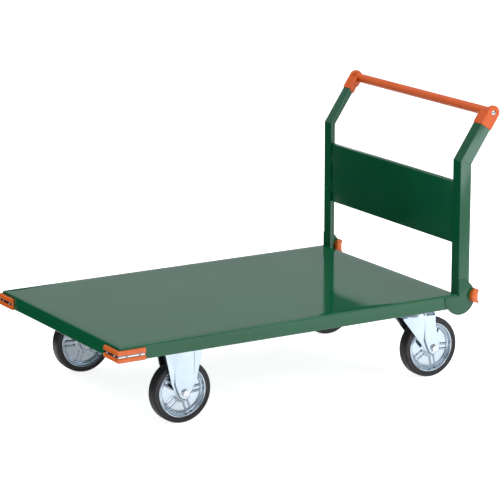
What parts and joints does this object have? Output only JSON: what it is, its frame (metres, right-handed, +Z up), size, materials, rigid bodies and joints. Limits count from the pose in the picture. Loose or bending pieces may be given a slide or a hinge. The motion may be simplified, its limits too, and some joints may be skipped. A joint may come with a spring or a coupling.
{
  "type": "plant trolley",
  "caption": "Flat-deck steel hand trolley with a cranked push handle, infill panel, corner bumpers, rigid front casters and swivel rear casters.",
  "frame": {"origin": "on the floor under the centre of the overall length and width", "axes": "+X towards the push handle, +Y to the right of someone pushing, +Z up"},
  "size_m": [1.3582, 0.8252, 0.8701],
  "materials": {
    "deck_paint": "gloss",
    "frame_paint": "gloss",
    "bumper_rubber": "satin moulded",
    "grip_plastic": "satin moulded",
    "zinc_bright": "bright zinc plate",
    "zinc_fork": "bright zinc plate",
    "zinc_rim": "bright zinc plate",
    "steel_plain": "plain ground steel",
    "bearing_bronze": "oiled sintered bronze",
    "tyre_rubber": "matt moulded rubber"
  },
  "bodies": {
    "frame": {"deck_pan": "deck_paint", "crossbar_1": "frame_paint", "crossbar_2": "frame_paint", "crossbar_3": "frame_paint", "crossbar_4": "frame_paint", "crossbar_5": "frame_paint", "corner_bumper_left": "bumper_rubber", "bumper_strip_left": "zinc_bright", "corner_bumper_right": "bumper_rubber", "bumper_strip_right": "zinc_bright", "bumper_screws": "zinc_bright", "post_left": "frame_paint", "post_right": "frame_paint", "handle_panel": "frame_paint", "gusset_plate_left": "frame_paint", "gusset_plate_right": "frame_paint", "weld_beads": "frame_paint", "rear_bumper_left": "bumper_rubber", "rear_bumper_right": "bumper_rubber", "grip_bracket_left": "grip_plastic", "grip_bracket_right": "grip_plastic", "grip_pipe": "steel_plain", "grip_sleeve": "grip_plastic", "grip_screws": "zinc_bright", "rigid_fork_front_left": "zinc_fork", "rigid_fork_front_right": "zinc_fork", "swivel_plate_rear_left": "zinc_fork", "swivel_plate_rear_right": "zinc_fork", "kingpin_rear_left": "steel_plain", "kingpin_rear_right": "steel_plain", "caster_bolts_front_left": "zinc_bright", "caster_bolts_front_right": "zinc_bright", "caster_bolts_rear_left": "zinc_bright", "caster_bolts_rear_right": "zinc_bright", "axle_sleeve_front_left": "steel_plain", "axle_sleeve_front_right": "steel_plain", "axle_bolt_front_left": "zinc_bright", "axle_bolt_front_right": "zinc_bright"},
    "swivel_rear_left": {"swivel_fork_rear_left": "zinc_fork", "ball_ring_rear_left": "steel_plain", "axle_sleeve_rear_left": "steel_plain", "axle_bolt_rear_left": "zinc_bright"},
    "swivel_rear_right": {"swivel_fork_rear_right": "zinc_fork", "ball_ring_rear_right": "steel_plain", "axle_sleeve_rear_right": "steel_plain", "axle_bolt_rear_right": "zinc_bright"},
    "wheel_front_left": {"tyre_front_left": "tyre_rubber", "rim_front_left": "zinc_rim", "wheel_bearing_front_left": "bearing_bronze"},
    "wheel_front_right": {"tyre_front_right": "tyre_rubber", "rim_front_right": "zinc_rim", "wheel_bearing_front_right": "bearing_bronze"},
    "wheel_rear_left": {"tyre_rear_left": "tyre_rubber", "rim_rear_left": "zinc_rim", "wheel_bearing_rear_left": "bearing_bronze"},
    "wheel_rear_right": {"tyre_rear_right": "tyre_rubber", "rim_rear_right": "zinc_rim", "wheel_bearing_rear_right": "bearing_bronze"}
  },
  "joints": [
    {"name": "swivel_rear_left_turn", "type": "hinge", "parent": "frame", "child": "swivel_rear_left", "pos_m": [0.42786, -0.297, 0.215], "axis": [0, 0, 1], "continuous": true},
    {"name": "swivel_rear_right_turn", "type": "hinge", "parent": "frame", "child": "swivel_rear_right", "pos_m": [0.42786, 0.297, 0.215], "axis": [0, 0, 1], "continuous": true},
    {"name": "wheel_front_left_spin", "type": "hinge", "parent": "frame", "child": "wheel_front_left", "pos_m": [-0.42914, -0.317, 0.098], "axis": [0, 1, 0], "continuous": true},
    {"name": "wheel_front_right_spin", "type": "hinge", "parent": "frame", "child": "wheel_front_right", "pos_m": [-0.42914, 0.317, 0.098], "axis": [0, 1, 0], "continuous": true},
    {"name": "wheel_rear_left_spin", "type": "hinge", "parent": "swivel_rear_left", "child": "wheel_rear_left", "pos_m": [0.48786, -0.297, 0.098], "axis": [0, 1, 0], "continuous": true},
    {"name": "wheel_rear_right_spin", "type": "hinge", "parent": "swivel_rear_right", "child": "wheel_rear_right", "pos_m": [0.48786, 0.297, 0.098], "axis": [0, 1, 0], "continuous": true}
  ]
}
